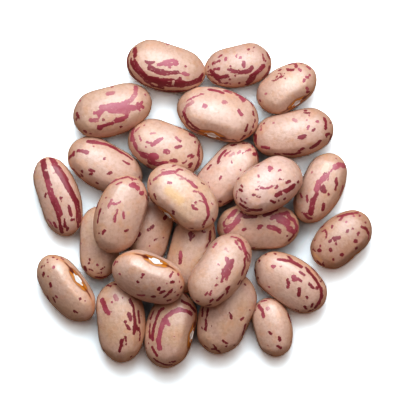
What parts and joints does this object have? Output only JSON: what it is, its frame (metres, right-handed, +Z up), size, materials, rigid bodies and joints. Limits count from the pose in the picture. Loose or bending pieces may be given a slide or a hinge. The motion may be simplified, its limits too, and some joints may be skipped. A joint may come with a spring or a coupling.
{
  "type": "heap of dried beans",
  "caption": "Low uneven heap of dried speckled beans lying loose on a flat surface, with a few on top and one a little apart.",
  "frame": {"origin": "middle of the heap seen from above, on the surface that it lies on", "axes": "+Z up, +Y towards the top of the picture, +X to its right"},
  "size_m": [0.0644, 0.0624, 0.0139],
  "materials": {
    "bean_skin": null
  },
  "bodies": {
    "root": {"bean_heap": "bean_skin", "bean_apart": "bean_skin"}
  },
  "joints": []
}
